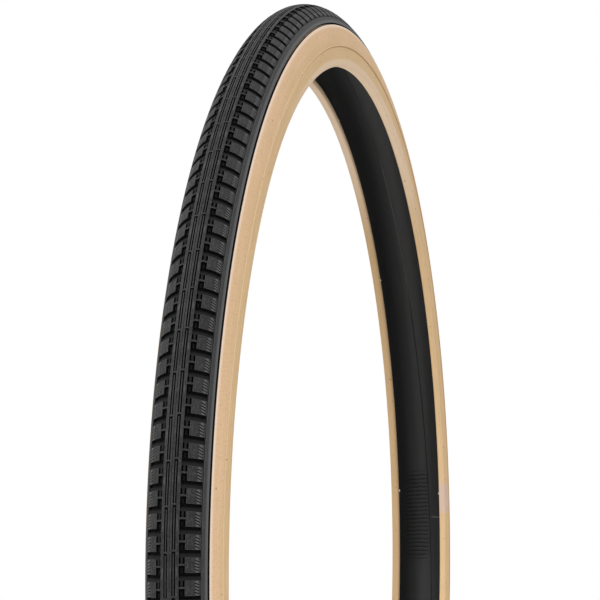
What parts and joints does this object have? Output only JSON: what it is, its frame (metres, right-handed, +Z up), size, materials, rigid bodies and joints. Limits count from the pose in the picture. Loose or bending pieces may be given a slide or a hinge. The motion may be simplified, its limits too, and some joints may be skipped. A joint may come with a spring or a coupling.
{
  "type": "bicycle tyre",
  "caption": "Wire-bead clincher tyre for a roadster wheel: black ribbed tread with shoulder blocks, tan skinwall sides, black lining, off the rim.",
  "frame": {"origin": "centre of the wheel, on the axle line, half way between the two beads", "axes": "+Y along the axle, which is the ring's axis; +Z up, across the wheel; the tyre is the same both ways round"},
  "size_m": [0.6647, 0.039, 0.6648],
  "materials": {
    "tread_rubber": "moulded black tread rubber, satin on the rib tops and dull in the grooves",
    "sidewall_rubber": "tan skinwall rubber with the ply cords showing faintly through it",
    "chafer_strip": "pale tan rubbered strip, fine weave, matte",
    "liner_rubber": "thin black lining, soft sheen with shallow wrinkles",
    "ply_fabric": "bias-cut nylon cord fabric, rubbered on both sides",
    "breaker_fabric": "open-weave breaker fabric, rubbered",
    "bead_rubber": "hard black bead rubber",
    "bead_wire": "drawn high-tensile wire, brass washed"
  },
  "bodies": {
    "root": {"tread_cap": "tread_rubber", "breaker_strip": "breaker_fabric", "outer_ply": "ply_fabric", "inner_ply": "ply_fabric", "inner_liner": "liner_rubber", "left_sidewall": "sidewall_rubber", "left_chafer": "chafer_strip", "left_bead_wires": "bead_wire", "left_bead_cover": "bead_rubber", "left_bead_filler": "bead_rubber", "right_sidewall": "sidewall_rubber", "right_chafer": "chafer_strip", "right_bead_wires": "bead_wire", "right_bead_cover": "bead_rubber", "right_bead_filler": "bead_rubber"}
  },
  "joints": []
}
